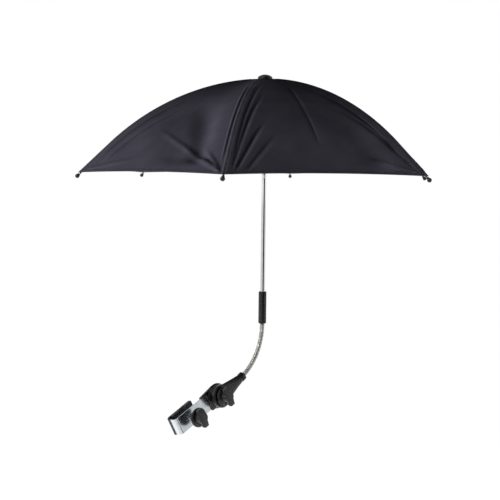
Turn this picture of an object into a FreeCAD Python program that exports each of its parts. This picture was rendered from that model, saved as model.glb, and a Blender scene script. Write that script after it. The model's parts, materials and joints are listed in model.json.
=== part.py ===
import FreeCAD, Part
import math
import os

# Pram parasol on a bendable neck, held to the pram by a screw clamp.
# Millimetres. The origin is the centre of the pram tube in the clamp's jaw.
# +Z runs up the shaft and +X runs from the clamp towards the shaft.

# Shared by every piece
overrun = 1.0
soft_clearance = 0.3
running_clearance = 0.08

# Clamp jaw and its bent steel strip, drawn with +Z out of the clamp
tube_radius = 7.5
strip_angle = 22.0
clamp_roll = 10.0
strip_width = 28.5
strip_thickness = 1.6
strip_bend_radius = 5.0
strip_corner_radius = 5.0
web_reach = 30.5
rear_leg_reach = 21.0

# Rubber boot on the rear jaw, with a round seat for the tube
seat_wall = 1.0
seat_depth = 4.2
boot_cover = 1.0
boot_end = 2.0
boot_lip_reach = 22.0
boot_corner_radius = 2.0

# Pressure pad, clamp screw and its press nut
pad_backoff = 0.5
pad_thickness = 2.2
pad_radius = 9.0
pad_edge = 0.8
pad_pocket_depth = 1.3
screw_radius = 3.0
screw_tip_radius = 2.0
nut_radius = 6.0
nut_barrel_radius = 4.2
nut_flange = 1.2
knob_gap = 16.5

# Wing knobs
knob_flange_radius = 16.0
knob_flange_height = 4.5
knob_edge = 1.4
knob_hub_radius = 10.5
knob_height = 17.0
wing_span = 33.0
wing_thickness = 13.0
wing_bevel = 2.6
wing_shoulder_share = 0.5
wing_end_share = 0.86
knob_bore_depth = 11.0

# Swivel joint between the strip and the neck's holder
swivel_reach = 63.0
saddle_thickness = 3.0
saddle_reach = 20.0
rail_thickness = 2.0
rail_depth = 2.6
rail_start_reach = 33.0
rail_tab_length = 6.0
rail_tab_lift = 1.2
disc_radius = 19.5
disc_flare = 1.8
disc_height = 5.2
tooth_height = 0.8
tooth_count = 24
tooth_inner_radius = 10.0
tooth_margin = 1.2
bolt_radius = 3.0
bolt_head_radius = 6.5
bolt_head_height = 2.2
washer_radius = 9.0
washer_thickness = 1.3

# Tapered holder of the neck
holder_angle = 27.5
holder_reach = 56.5
holder_disc_height = 7.4
holder_disc_edge = 1.6
holder_boss_radius = 10.5
holder_boss_height = 0.8
holder_root_half_width = 17.6
holder_root_half_depth = 3.7
holder_root_offset = 5.0
holder_waist_half_width = 10.8
holder_waist_half_depth = 5.0
holder_waist_reach = 32.0
holder_mouth_radius = 6.9
holder_mouth_flat = 0.2
collar_radius = 7.7
collar_length = 6.0
arm_plane_lift = 7.2

# Bendable neck, a ribbed metal hose in short lengths on ball seats
neck_radius = 4.0
neck_bore_radius = 1.6
neck_ball_radius = 3.4
neck_bend_radius = 94.0
neck_length_count = 8
neck_start = 1.8
neck_lip = 0.2
neck_rib_depth = 0.4
neck_rib_count = 4
neck_stem_radius = 3.0
neck_stem_length = 16.0

# Shaft and the sleeve at its foot
shaft_radius = 4.0
shaft_wall = 0.7
shaft_clear_length = 201.0
shaft_seat_depth = 36.0
sleeve_radius = 7.0
sleeve_length = 59.0
sleeve_edge = 1.2

# Ribs: an arc from the crown, then a straight stretch to the ball tip
rib_count = 6
first_rib_azimuth = 30.0
rib_radius = 1.4
rib_pivot_radius = 8.0
rib_root_slope = 4.0
rib_tip_slope = 43.6
rib_arc_radius = 415.0
rib_tip_straight = 76.0
rib_tang_length = 9.0
rib_tang_thickness = 1.6
eye_radius = 1.5
hinge_wire_radius = 0.5
tip_ball_radius = 3.5
tip_ferrule_radius = 2.2
tip_ferrule_length = 1.2

# Crown at the top of the shaft
crown_radius = 10.5
crown_rise = 1.2
crown_drop = 6.0
slot_side_clearance = 0.3
slot_end_clearance = 0.5
wire_groove_clearance = 0.2

# Stretchers from the runner to the ribs
stretcher_distance = 148.0
stretcher_drop = 3.6
stretcher_radius = 1.1
stretcher_side_step = 3.4
stretcher_eye_radius = 1.8
stretcher_eye_thickness = 1.4
stretcher_tang_length = 8.0
lug_radius = 2.0
lug_neck_radius = 1.0
rivet_radius = 0.9
rivet_head_radius = 1.6
rivet_head_height = 0.5

# Runner and the spring catch below it
runner_pivot_radius = 9.0
runner_pivot_height = 26.0
runner_foot_height = 6.3
runner_barrel_radius = 5.6
runner_flange_radius = 11.6
runner_flange_rise = 3.4
runner_flange_drop = 4.6
runner_rim_radius = 6.2
runner_rim_height = 2.4
catch_azimuth = 220.0
catch_thickness = 1.2
catch_stand_out = 1.9
catch_length = 9.0
catch_tail_length = 14.0
catch_inner_radius = 1.2
catch_leaf_width = 1.6
catch_gap = 0.4
catch_slot_clearance = 0.3
catch_pin_radius = 0.8

# Cloth panels, two to each gore, and the cap over their top ends
cloth_thickness = 0.8
cloth_seam_gap = 0.6
cloth_hem_setback = 5.0
cloth_crease_sag = 3.5
cloth_hem_arch = 4.0
cap_radius = 12.5
cap_boss_radius = 6.0
cap_dome_height = 4.4
cap_rim_height = 3.2
cap_stem_length = 8.0

right_angle = 90.0
full_turn = 360.0
origin = FreeCAD.Vector(0, 0, 0)
x_axis = FreeCAD.Vector(1, 0, 0)
y_axis = FreeCAD.Vector(0, 1, 0)
z_axis = FreeCAD.Vector(0, 0, 1)

# Levels through the clamp, measured out from the tube's axis
front_leg_inside = tube_radius + pad_backoff + pad_thickness + soft_clearance
front_leg_outside = front_leg_inside + strip_thickness
rear_leg_inside = -(tube_radius + seat_wall)
rear_leg_outside = rear_leg_inside - strip_thickness
boot_back = rear_leg_outside - boot_cover
boot_lip = seat_depth - tube_radius
saddle_top = front_leg_outside + saddle_thickness
disc_top = saddle_top + disc_height
holder_teeth_foot = disc_top + tooth_height + soft_clearance
holder_foot = holder_teeth_foot + tooth_height
arm_plane = holder_foot + arm_plane_lift
holder_top = holder_foot + holder_disc_height
washer_foot = holder_top + holder_boss_height
swivel_knob_foot = washer_foot + washer_thickness
clamp_knob_foot = front_leg_outside + knob_gap
bolt_end = swivel_knob_foot + knob_bore_depth - overrun

# Places along the neck and the shaft
neck_seat_radius = neck_ball_radius + soft_clearance
neck_turn = right_angle - holder_angle


def along(angle, length):
    """Step of a length at an angle above +X, as X and Z."""
    turn = math.radians(angle)
    return (length * math.cos(turn), length * math.sin(turn))


swivel_step = along(strip_angle, swivel_reach)
mouth_step = along(holder_angle, holder_reach)
swivel_spot = FreeCAD.Vector(swivel_step[0], 0, swivel_step[1])
mouth_spot = swivel_spot + FreeCAD.Vector(mouth_step[0], -arm_plane, mouth_step[1])
holder_line = FreeCAD.Vector(mouth_step[0], 0, mouth_step[1])
neck_foot = FreeCAD.Rotation(holder_line, -clamp_roll).multVec(mouth_spot)


def neck_corners():
    """Ends of the neck's lengths from the holder's mouth to the sleeve, as X and Z."""
    side = along(holder_angle + right_angle, neck_bend_radius)
    centre = (neck_foot.x + side[0], neck_foot.z + side[1])
    corners = []
    for step in range(neck_length_count + 1):
        angle = holder_angle - right_angle + neck_turn * step / neck_length_count
        reach = along(angle, neck_bend_radius)
        corners.append((centre[0] + reach[0], centre[1] + reach[1]))
    return corners


neck_points = neck_corners()
shaft_x = neck_points[-1][0]
sleeve_foot = neck_points[-1][1] + neck_start
sleeve_top = neck_points[-1][1] + sleeve_length
tip_plane = sleeve_top + shaft_clear_length
shaft_foot = FreeCAD.Vector(shaft_x, neck_foot.y, tip_plane)

# Rib arc in its own plane, as radius and height above the crown's pivots
root_turn = math.radians(rib_root_slope)
tip_turn = math.radians(rib_tip_slope)
arc_centre = (rib_pivot_radius - rib_arc_radius * math.sin(root_turn), -rib_arc_radius * math.cos(root_turn))


def rib_at(slope, lift):
    """Point of the rib's arc where it slopes so much, lifted off the rib's middle."""
    turn = math.radians(slope)
    reach = rib_arc_radius + lift
    return (arc_centre[0] + reach * math.sin(turn), arc_centre[1] + reach * math.cos(turn))


def rib_end(distance, lift):
    """Point of the rib's straight stretch, a distance past the arc."""
    start = rib_at(rib_tip_slope, lift)
    return (start[0] + distance * math.cos(tip_turn), start[1] - distance * math.sin(tip_turn))


rib_tip = rib_end(rib_tip_straight, 0)
crown_height = -rib_tip[1]
tip_radius = rib_tip[0]
joint_slope = rib_root_slope + math.degrees(stretcher_distance / rib_arc_radius)
stretcher_joint = rib_at(joint_slope, -stretcher_drop)


def flat(a, b):
    """Point of an outline in the XZ plane."""
    return FreeCAD.Vector(a, 0, b)


def around(centre, radius, angle):
    """Point on a circle in an outline's plane."""
    turn = math.radians(angle)
    return (centre[0] + radius * math.cos(turn), centre[1] + radius * math.sin(turn))


def outline(steps, place=flat):
    """Closed wire: a point ends a line, and a pair of points is an arc's middle and end."""
    edges = []
    last = steps[0]
    for step in steps[1:] + [steps[0]]:
        if isinstance(step[0], tuple):
            edges.append(Part.Arc(place(*last), place(*step[0]), place(*step[1])).toShape())
            last = step[1]
        else:
            edges.append(Part.LineSegment(place(*last), place(*step)).toShape())
            last = step
    return Part.Wire(edges)


def turned(steps):
    """Solid of revolution about Z from an outline of radius and height."""
    return Part.Face(outline(steps)).revolve(origin, z_axis, full_turn)


def slab(steps, low, high):
    """Outline in X and Z, given a thickness from low to high along Y."""
    face = Part.Face(outline(steps))
    face.translate(y_axis * low)
    return face.extrude(y_axis * (high - low))


def block(low, high):
    """Box between two corners."""
    size = FreeCAD.Vector(*high) - FreeCAD.Vector(*low)
    return Part.makeBox(size.x, size.y, size.z, FreeCAD.Vector(*low))


def peg(radius, low, high, x=0, y=0):
    """Cylinder along Z between two levels."""
    return Part.makeCylinder(radius, high - low, FreeCAD.Vector(x, y, low))


def joined(shapes):
    """One clean solid from touching or overlapping shapes."""
    return shapes[0].multiFuse(shapes[1:]).removeSplitter()


def outward(shape, angle, spot):
    """Tilt a piece drawn with +Z out of the clamp, carry it to its spot and roll it with the clamp."""
    placed = shape.copy()
    placed.rotate(origin, x_axis, right_angle)
    placed.rotate(origin, y_axis, -angle)
    placed.translate(spot)
    placed.rotate(origin, holder_line, -clamp_roll)
    return placed


def on_clamp(shape):
    return outward(shape, strip_angle, origin)


def on_arm(shape):
    return outward(shape, holder_angle, swivel_spot)


def on_shaft(shape, azimuth=0):
    """Turn a piece drawn about the shaft and lift it from the tip plane's centre."""
    placed = shape.copy()
    placed.rotate(origin, z_axis, azimuth)
    placed.translate(shaft_foot)
    return placed


def clamp_bracket():
    """Steel strip bent into the rear jaw, the web and the long front leg."""
    outer = strip_bend_radius + strip_thickness
    bend_x = strip_bend_radius - web_reach
    web_outside = -web_reach - strip_thickness
    front = (bend_x, front_leg_inside - strip_bend_radius)
    rear = (bend_x, rear_leg_inside + strip_bend_radius)
    steps = [
        (swivel_reach, front_leg_outside),
        (bend_x, front_leg_outside),
        (around(front, outer, 135), (web_outside, front[1])),
        (web_outside, rear[1]),
        (around(rear, outer, 225), (bend_x, rear_leg_outside)),
        (rear_leg_reach, rear_leg_outside),
        (rear_leg_reach, rear_leg_inside),
        (bend_x, rear_leg_inside),
        (around(rear, strip_bend_radius, 225), (-web_reach, rear[1])),
        (-web_reach, front[1]),
        (around(front, strip_bend_radius, 135), (bend_x, front_leg_inside)),
        (swivel_reach, front_leg_inside),
    ]
    strip = slab(steps, -strip_width / 2, strip_width / 2)
    corners = [edge for edge in strip.Edges if is_jaw_corner(edge)]
    strip = strip.makeFillet(strip_corner_radius, corners)
    strip = joined([strip, peg(strip_width / 2, front_leg_inside, front_leg_outside, swivel_reach)])
    low, high = front_leg_inside - overrun, front_leg_outside + overrun
    strip = strip.cut(peg(nut_barrel_radius, low, high))
    return strip.cut(peg(bolt_radius, low, high, swivel_reach))


def is_jaw_corner(edge):
    """True for the two short edges across the strip's thickness at the rear jaw's end."""
    at_end = abs(edge.CenterOfMass.x - rear_leg_reach) < soft_clearance
    return at_end and abs(edge.Length - strip_thickness) < soft_clearance


def jaw_boot(bracket):
    """Rubber boot pulled over the rear jaw, hollowed by the strip and the tube's seat."""
    bend_x = strip_bend_radius - web_reach
    rear = (bend_x, rear_leg_inside + strip_bend_radius)
    web_outside = -web_reach - strip_thickness
    middle = strip_bend_radius + strip_thickness / 2
    cover = strip_bend_radius + strip_thickness + boot_cover
    end = rear_leg_reach + boot_end
    seat_half = math.sqrt(tube_radius**2 - boot_lip**2)
    low_corner = (end - boot_corner_radius, boot_back + boot_corner_radius)
    high_corner = (end - boot_corner_radius, boot_lip - boot_corner_radius)
    steps = [
        (web_outside - boot_cover, rear[1]),
        (around(rear, cover, 225), (bend_x, boot_back)),
        (low_corner[0], boot_back),
        (around(low_corner, boot_corner_radius, 315), (end, low_corner[1])),
        (end, high_corner[1]),
        (around(high_corner, boot_corner_radius, 45), (high_corner[0], boot_lip)),
        (seat_half, boot_lip),
        ((0, -tube_radius), (-seat_half, boot_lip)),
        (-boot_lip_reach, boot_lip),
        (-boot_lip_reach, rear_leg_inside - strip_thickness / 2),
        (bend_x, rear_leg_inside - strip_thickness / 2),
        (around(rear, middle, 225), (bend_x - middle, rear[1])),
    ]
    half = strip_width / 2 + boot_cover
    return slab(steps, -half, half).cut(bracket)


def press_nut():
    """Flanged nut pressed into the front leg for the clamp screw."""
    bore = screw_radius + running_clearance
    return turned([
        (bore, front_leg_inside),
        (nut_barrel_radius, front_leg_inside),
        (nut_barrel_radius, front_leg_outside),
        (nut_radius, front_leg_outside),
        (nut_radius, front_leg_outside + nut_flange),
        (bore, front_leg_outside + nut_flange),
    ])


def clamp_pad():
    """Round foot on the screw's end, which presses on the tube."""
    foot = tube_radius + pad_backoff
    back = foot + pad_thickness
    pocket = screw_tip_radius + running_clearance
    floor = back - pad_pocket_depth
    return turned([
        (0, foot),
        (pad_radius - pad_edge, foot),
        (pad_radius, foot + pad_edge),
        (pad_radius, back),
        (pocket, back),
        (pocket, floor),
        (0, floor),
    ])


def clamp_screw():
    """Plain-drawn screw from the pad's pocket into the knob."""
    back = tube_radius + pad_backoff + pad_thickness
    tip = back - pad_pocket_depth + running_clearance
    shoulder = back + soft_clearance
    return turned([
        (0, tip),
        (screw_tip_radius, tip),
        (screw_tip_radius, shoulder),
        (screw_radius, shoulder),
        (screw_radius, clamp_knob_foot + knob_bore_depth),
        (0, clamp_knob_foot + knob_bore_depth),
    ])


def wing_outline(inset):
    """Half-turn wing seen flat: a narrow root, square shoulders and a crowned top."""
    half = wing_span / 2 - inset
    root = knob_hub_radius - inset
    top = knob_height - inset
    shoulder = knob_height * wing_shoulder_share
    edge = knob_height * wing_end_share - inset
    waist = (root + (half - root) * wing_shoulder_share**2, shoulder * wing_end_share)
    return [
        (-root, knob_flange_height / 2),
        ((-waist[0], waist[1]), (-half, shoulder + inset)),
        (-half, edge),
        ((0, top), (half, edge)),
        (half, shoulder + inset),
        ((waist[0], waist[1]), (root, knob_flange_height / 2)),
    ]


def wing_knob(foot, bore):
    """Moulded knob with a round flange and a bevelled wing, standing on a level."""
    radius = knob_flange_radius
    flange = turned([
        (0, 0),
        (radius - knob_edge, 0),
        (radius, knob_edge),
        (radius, knob_flange_height - knob_edge),
        (radius - knob_edge, knob_flange_height),
        (knob_hub_radius, knob_flange_height + knob_edge),
        (knob_hub_radius * wing_end_share, knob_height * wing_end_share),
        (0, knob_height * wing_end_share),
    ])
    half = wing_thickness / 2
    layers = [(-half, wing_bevel), (wing_bevel - half, 0), (half - wing_bevel, 0), (half, wing_bevel)]
    wires = []
    for level, inset in layers:
        wire = outline(wing_outline(inset))
        wire.translate(y_axis * level)
        wires.append(wire)
    wing = Part.makeLoft(wires, True, True)
    wing.rotate(origin, z_axis, right_angle)
    knob = joined([flange, wing]).cut(peg(bore, -overrun, knob_bore_depth))
    knob.translate(z_axis * foot)
    return knob


def tooth_ring(foot, direction):
    """Radial teeth on a swivel disc, standing up or hanging down from a level."""
    half = math.pi * tooth_inner_radius / tooth_count
    length = disc_radius - tooth_margin - tooth_inner_radius
    crest = foot + direction * tooth_height
    root = foot - direction * tooth_height
    points = [(-half, root), (-half, foot), (0, crest), (half, foot), (half, root)]
    tooth = Part.Face(outline(points, lambda a, b: FreeCAD.Vector(tooth_inner_radius, a, b)))
    tooth = tooth.extrude(x_axis * length)
    teeth = []
    for number in range(tooth_count):
        copy = tooth.copy()
        copy.rotate(origin, z_axis, full_turn * number / tooth_count)
        teeth.append(copy)
    return teeth


def rail(side, start, low, high):
    """Rail along an edge of the strip, widening from its end to the disc."""
    half = strip_width / 2
    points = [(start, half), (start, half + rail_thickness), (swivel_reach, disc_radius), (swivel_reach, half)]
    face = Part.Face(outline(points, lambda a, b: FreeCAD.Vector(a, side * b, low)))
    return face.extrude(z_axis * (high - low))


def swivel_base():
    """Plastic saddle on the strip, with a rail along each edge and a toothed disc."""
    half = strip_width / 2
    outer = half + rail_thickness
    start = swivel_reach - saddle_reach
    plate = block((start, -outer, front_leg_outside), (swivel_reach, outer, saddle_top))
    rail_low = front_leg_outside - rail_depth
    pieces = [plate, peg(outer, front_leg_outside, saddle_top, swivel_reach)]
    for side, rail_start in ((-1, start), (1, swivel_reach - rail_start_reach)):
        near = side * half
        far = side * outer
        low, high = min(near, far), max(near, far)
        pieces.append(rail(side, rail_start, rail_low, saddle_top - rail_tab_lift))
        pieces.append(block((rail_start, low, rail_low), (rail_start + rail_tab_length, high, saddle_top)))
    disc = turned([
        (0, saddle_top - saddle_thickness / 2),
        (disc_radius + disc_flare, saddle_top - saddle_thickness / 2),
        (disc_radius + disc_flare, saddle_top),
        (disc_radius, saddle_top + disc_flare),
        (disc_radius, disc_top),
        (0, disc_top),
    ])
    disc = joined([disc] + tooth_ring(disc_top, 1))
    disc.translate(x_axis * swivel_reach)
    solid = joined(pieces + [disc])
    bore = bolt_radius
    return solid.cut(peg(bore, front_leg_outside - overrun, disc_top + overrun, swivel_reach))


def swivel_bolt():
    """Bolt with a low round head inside the strip, on which the arm turns."""
    head = front_leg_inside - bolt_head_height
    bolt = turned([
        (0, head),
        (bolt_head_radius - bolt_head_height / 2, head),
        (bolt_head_radius, front_leg_inside),
        (bolt_radius, front_leg_inside),
        (bolt_radius, bolt_end),
        (0, bolt_end),
    ])
    bolt.translate(x_axis * swivel_reach)
    return bolt


def swivel_washer():
    """Flat washer under the swivel knob."""
    bore = bolt_radius + running_clearance
    return turned([
        (bore, washer_foot),
        (washer_radius, washer_foot),
        (washer_radius, swivel_knob_foot),
        (bore, swivel_knob_foot),
    ])


def oval(reach, half_width, half_depth, level):
    """Upright oval across the holder, as a wire."""
    ellipse = Part.Ellipse(origin, half_width, half_depth).toShape()
    wire = Part.Wire([ellipse])
    wire.rotate(origin, x_axis, right_angle)
    wire.rotate(origin, z_axis, right_angle)
    wire.translate(FreeCAD.Vector(reach, 0, level))
    return wire


def neck_holder():
    """Toothed disc drawn out into a tapered arm with a collar and a ball seat."""
    edge = holder_disc_edge
    disc = turned([
        (0, holder_foot),
        (disc_radius, holder_foot),
        (disc_radius, holder_top - edge),
        (disc_radius - edge, holder_top),
        (holder_boss_radius, holder_top),
        (holder_boss_radius - edge / 2, washer_foot),
        (0, washer_foot),
    ])
    disc = joined([disc] + tooth_ring(holder_foot, -1))
    level = (holder_foot + holder_top) / 2
    waist_level = (level + arm_plane) / 2
    end = holder_reach - holder_mouth_flat
    sections = [
        oval(holder_root_offset, holder_root_half_width, holder_root_half_depth, level),
        oval(holder_waist_reach, holder_waist_half_width, holder_waist_half_depth, waist_level),
        oval(end - collar_length, holder_mouth_radius, holder_mouth_radius - soft_clearance, arm_plane),
    ]
    arm = Part.makeLoft(sections, True, False)
    collar = Part.makeCylinder(collar_radius, collar_length,
                               FreeCAD.Vector(end - collar_length, 0, arm_plane), x_axis)
    holder = joined([disc, arm, collar])
    seat = Part.makeSphere(neck_seat_radius, FreeCAD.Vector(holder_reach, 0, arm_plane))
    bore = bolt_radius + running_clearance
    return holder.cut(seat).cut(peg(bore, holder_foot - tooth_height - overrun, washer_foot + overrun))


def ball_steps(stop):
    """Outline of a neck ball about the level 0, from its bore up to a stop level."""
    radius = neck_ball_radius
    foot = -math.sqrt(radius**2 - neck_bore_radius**2)
    return [(neck_bore_radius, foot), ((radius, 0), (math.sqrt(radius**2 - stop**2), stop))]


def neck_length(length):
    """Ribbed length of hose with a ball at its foot and a seat for the next ball at its top."""
    steps = ball_steps(neck_start)
    top = length - neck_lip
    pitch = (top - neck_start) / neck_rib_count
    valley = neck_radius - neck_rib_depth
    steps.append((valley, neck_start))
    for number in range(neck_rib_count):
        start = neck_start + pitch * number
        steps.append((neck_radius, start + pitch / 4))
        steps.append((neck_radius, start + pitch * 3 / 4))
        if number + 1 < neck_rib_count:
            steps.append((valley, start + pitch))
    steps.append((neck_radius, top))
    rim = math.sqrt(neck_seat_radius**2 - neck_lip**2)
    foot = -math.sqrt(neck_seat_radius**2 - neck_bore_radius**2)
    half = math.sqrt(neck_seat_radius**2 / 2)
    steps.append((rim, top))
    steps.append(((half, length - half), (neck_bore_radius, length + foot)))
    return turned(steps)


def neck_lengths():
    """The neck's lengths, each laid from one corner of the neck's line to the next."""
    lengths = []
    for number in range(len(neck_points) - 1):
        start, stop = neck_points[number], neck_points[number + 1]
        run = math.hypot(stop[0] - start[0], stop[1] - start[1])
        heading = math.degrees(math.atan2(stop[1] - start[1], stop[0] - start[0]))
        piece = neck_length(run)
        piece.rotate(origin, y_axis, right_angle - heading)
        piece.translate(FreeCAD.Vector(start[0], neck_foot.y, start[1]))
        lengths.append(piece)
    return lengths


def neck_end():
    """Ball and stem that join the neck's last length to the sleeve."""
    steps = ball_steps(neck_start)
    steps.append((neck_stem_radius, neck_start))
    steps.append((neck_stem_radius, neck_stem_length))
    steps.append((neck_bore_radius, neck_stem_length))
    end = turned(steps)
    end.translate(FreeCAD.Vector(shaft_x, neck_foot.y, neck_points[-1][1]))
    return end


def shaft_sleeve():
    """Moulded sleeve that grips the neck's stem below and the shaft above."""
    foot = sleeve_foot - tip_plane
    top = sleeve_top - tip_plane
    stem_top = foot + neck_stem_length
    return turned([
        (neck_stem_radius, foot),
        (sleeve_radius - sleeve_edge, foot),
        (sleeve_radius, foot + sleeve_edge),
        (sleeve_radius, top - sleeve_edge),
        (sleeve_radius - sleeve_edge, top),
        (shaft_radius, top),
        (shaft_radius, top - shaft_seat_depth),
        (neck_stem_radius, stem_top),
    ])


def shaft_tube():
    """Plated tube from the sleeve to the crown, slotted for the catch."""
    foot = sleeve_top - tip_plane - shaft_seat_depth
    top = crown_height + crown_rise
    inner = shaft_radius - shaft_wall
    tube = peg(shaft_radius, foot, top).cut(peg(inner, foot - overrun, top + overrun))
    half = catch_thickness / 2 + catch_slot_clearance
    catch_top = runner_foot_height - catch_gap
    low = catch_top - catch_length - catch_slot_clearance
    slot = block((0, -half, low), (shaft_radius + overrun, half, catch_top + catch_slot_clearance))
    slot.rotate(origin, z_axis, catch_azimuth)
    return tube.cut(slot).cut(catch_pin())


def catch_pin():
    """Cross pin in the tube that carries the catch's eye."""
    level = runner_foot_height - catch_gap - catch_tail_length
    spot = catch_pin_spot(level)
    pin = Part.makeCylinder(catch_pin_radius, shaft_radius * 2, spot - y_axis * shaft_radius, y_axis)
    pin = pin.common(peg(shaft_radius, level - shaft_radius, level + shaft_radius))
    pin.rotate(origin, z_axis, catch_azimuth)
    return pin


def catch_pin_spot(level):
    return FreeCAD.Vector(catch_inner_radius + catch_leaf_width / 2 - shaft_radius / 2, 0, level)


def spring_catch():
    """Leaf inside the tube with a sloping tooth that stands out through the slot."""
    top = runner_foot_height - catch_gap
    level = top - catch_tail_length
    eye = catch_pin_spot(level)
    tooth_tip = shaft_radius + catch_stand_out
    leaf_out = catch_inner_radius + catch_leaf_width
    steps = [
        (catch_inner_radius, top),
        (tooth_tip, top),
        (tooth_tip, top - catch_leaf_width),
        (leaf_out, top - catch_length),
        (eye.x + catch_leaf_width / 2, level),
        (eye.x - catch_leaf_width / 2, level),
        (catch_inner_radius, top - catch_length),
    ]
    leaf = slab(steps, -catch_thickness / 2, catch_thickness / 2)
    ring = Part.makeCylinder(catch_leaf_width, catch_thickness, eye - y_axis * catch_thickness / 2, y_axis)
    hole = Part.makeCylinder(catch_pin_radius + running_clearance, catch_thickness + overrun,
                             eye - y_axis * (catch_thickness + overrun) / 2, y_axis)
    catch = joined([leaf, ring]).cut(hole)
    catch.rotate(origin, z_axis, catch_azimuth)
    return catch


def notches(count, width, inner, outer, low, high, first):
    """Radial slots for the hinged ends, as a list of cutting boxes."""
    boxes = []
    for number in range(count):
        box = block((inner, -width / 2, low), (outer, width / 2, high))
        box.rotate(origin, z_axis, first + full_turn * number / count)
        boxes.append(box)
    return boxes


def wire_groove(radius, outer, level):
    """Ring cut round a hub where its hinge wire lies."""
    half = hinge_wire_radius + wire_groove_clearance
    ring = turned([
        (radius - half, level - half),
        (outer + overrun, level - half),
        (outer + overrun, level + half),
        (radius - half, level + half),
    ])
    return ring


def hinge_wire(radius, level):
    """Wire ring threaded through the eyes of the ribs or the stretchers."""
    return Part.makeTorus(radius, hinge_wire_radius, FreeCAD.Vector(0, 0, level))


def crown_hub():
    """Notched hub at the shaft's top, which carries the ribs."""
    low = crown_height - crown_drop
    high = crown_height + crown_rise
    hub = peg(crown_radius, low, high).cut(peg(shaft_radius, low - overrun, high + overrun))
    hub = hub.cut(wire_groove(rib_pivot_radius, crown_radius, crown_height))
    width = rib_tang_thickness + 2 * slot_side_clearance
    inner = rib_pivot_radius - eye_radius - slot_end_clearance
    cuts = notches(rib_count, width, inner, crown_radius + overrun, low - overrun, high + overrun,
                   first_rib_azimuth)
    return hub.cut(cuts[0].multiFuse(cuts[1:]))


def runner():
    """Sliding collar with a notched flange for the stretchers and a finger rim."""
    bore = shaft_radius + running_clearance
    flange_low = runner_pivot_height - runner_flange_drop
    flange_high = runner_pivot_height + runner_flange_rise
    rim_top = runner_foot_height + runner_rim_height
    flare = runner_flange_radius - runner_barrel_radius
    body = turned([
        (bore, runner_foot_height),
        (runner_rim_radius, runner_foot_height),
        (runner_rim_radius, rim_top),
        (runner_barrel_radius, rim_top + runner_rim_radius - runner_barrel_radius),
        (runner_barrel_radius, flange_low - flare / 2),
        (runner_flange_radius, flange_low),
        (runner_flange_radius, flange_high),
        (bore, flange_high),
    ])
    body = body.cut(wire_groove(runner_pivot_radius, runner_flange_radius, runner_pivot_height))
    width = rib_tang_thickness + 2 * slot_side_clearance
    inner = runner_pivot_radius - eye_radius - slot_end_clearance
    low = runner_pivot_height - eye_radius - slot_end_clearance
    cuts = notches(rib_count, width, inner, runner_flange_radius + overrun, low, flange_high + overrun,
                   first_rib_azimuth)
    return body.cut(cuts[0].multiFuse(cuts[1:]))


def eye_disc(spot, radius, side, thickness):
    """Flat eye across the hinge line, centred a step to the side."""
    start = FreeCAD.Vector(spot[0], side - thickness / 2, spot[1])
    return Part.makeCylinder(radius, thickness, start, y_axis)


def eye_hole(spot):
    """Hole for the hinge wire through an eye."""
    start = FreeCAD.Vector(spot[0], -rib_tang_thickness, spot[1])
    return Part.makeCylinder(hinge_wire_radius + running_clearance, 2 * rib_tang_thickness, start, y_axis)


def tang(spot, angle, length, depth):
    """Flattened end of a rib or stretcher, leaving its eye at an angle above level."""
    plate = block((0, -rib_tang_thickness / 2, -depth / 2), (length, rib_tang_thickness / 2, depth / 2))
    plate.rotate(origin, y_axis, -angle)
    plate.translate(flat(*spot))
    return plate


def rib():
    """Wire rib: eye and tang at the crown, an arc, a straight end and the stretcher's lug."""
    pivot = (rib_pivot_radius, 0)
    start_slope = rib_root_slope + math.degrees((rib_tang_length - rib_radius) / rib_arc_radius)
    start = rib_at(start_slope, 0)
    turn = math.radians(start_slope)
    heading = FreeCAD.Vector(math.cos(turn), 0, -math.sin(turn))
    section = Part.Face(Part.Wire([Part.makeCircle(rib_radius, flat(*start), heading)]))
    bow = section.revolve(flat(*arc_centre), y_axis, rib_tip_slope - start_slope)
    end = rib_at(rib_tip_slope, 0)
    down = FreeCAD.Vector(math.cos(tip_turn), 0, -math.sin(tip_turn))
    straight = Part.makeCylinder(rib_radius, rib_tip_straight, flat(*end), down)
    lug_top = rib_at(joint_slope, 0)
    lug = eye_disc(stretcher_joint, lug_radius, 0, 2 * rib_radius)
    neck = Part.makeCylinder(lug_neck_radius, stretcher_drop, flat(*lug_top),
                             flat(stretcher_joint[0] - lug_top[0], stretcher_joint[1] - lug_top[1]))
    root = joined([eye_disc(pivot, eye_radius, 0, rib_tang_thickness),
                   tang(pivot, -rib_root_slope, rib_tang_length, 2 * rib_radius)])
    body = joined([root.cut(eye_hole(pivot)), bow, straight, lug, neck])
    body.translate(z_axis * crown_height)
    return body


def rib_tip_ball():
    """Moulded ball with a short ferrule, pushed on the rib's end."""
    ball = Part.makeSphere(tip_ball_radius)
    ferrule = peg(tip_ferrule_radius, 0, tip_ball_radius + tip_ferrule_length)
    tip = joined([ball, ferrule]).cut(peg(rib_radius, 0, tip_ball_radius + tip_ferrule_length + overrun))
    tip.rotate(origin, y_axis, rib_tip_slope - right_angle)
    tip.translate(flat(tip_radius, 0))
    return tip


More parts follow.
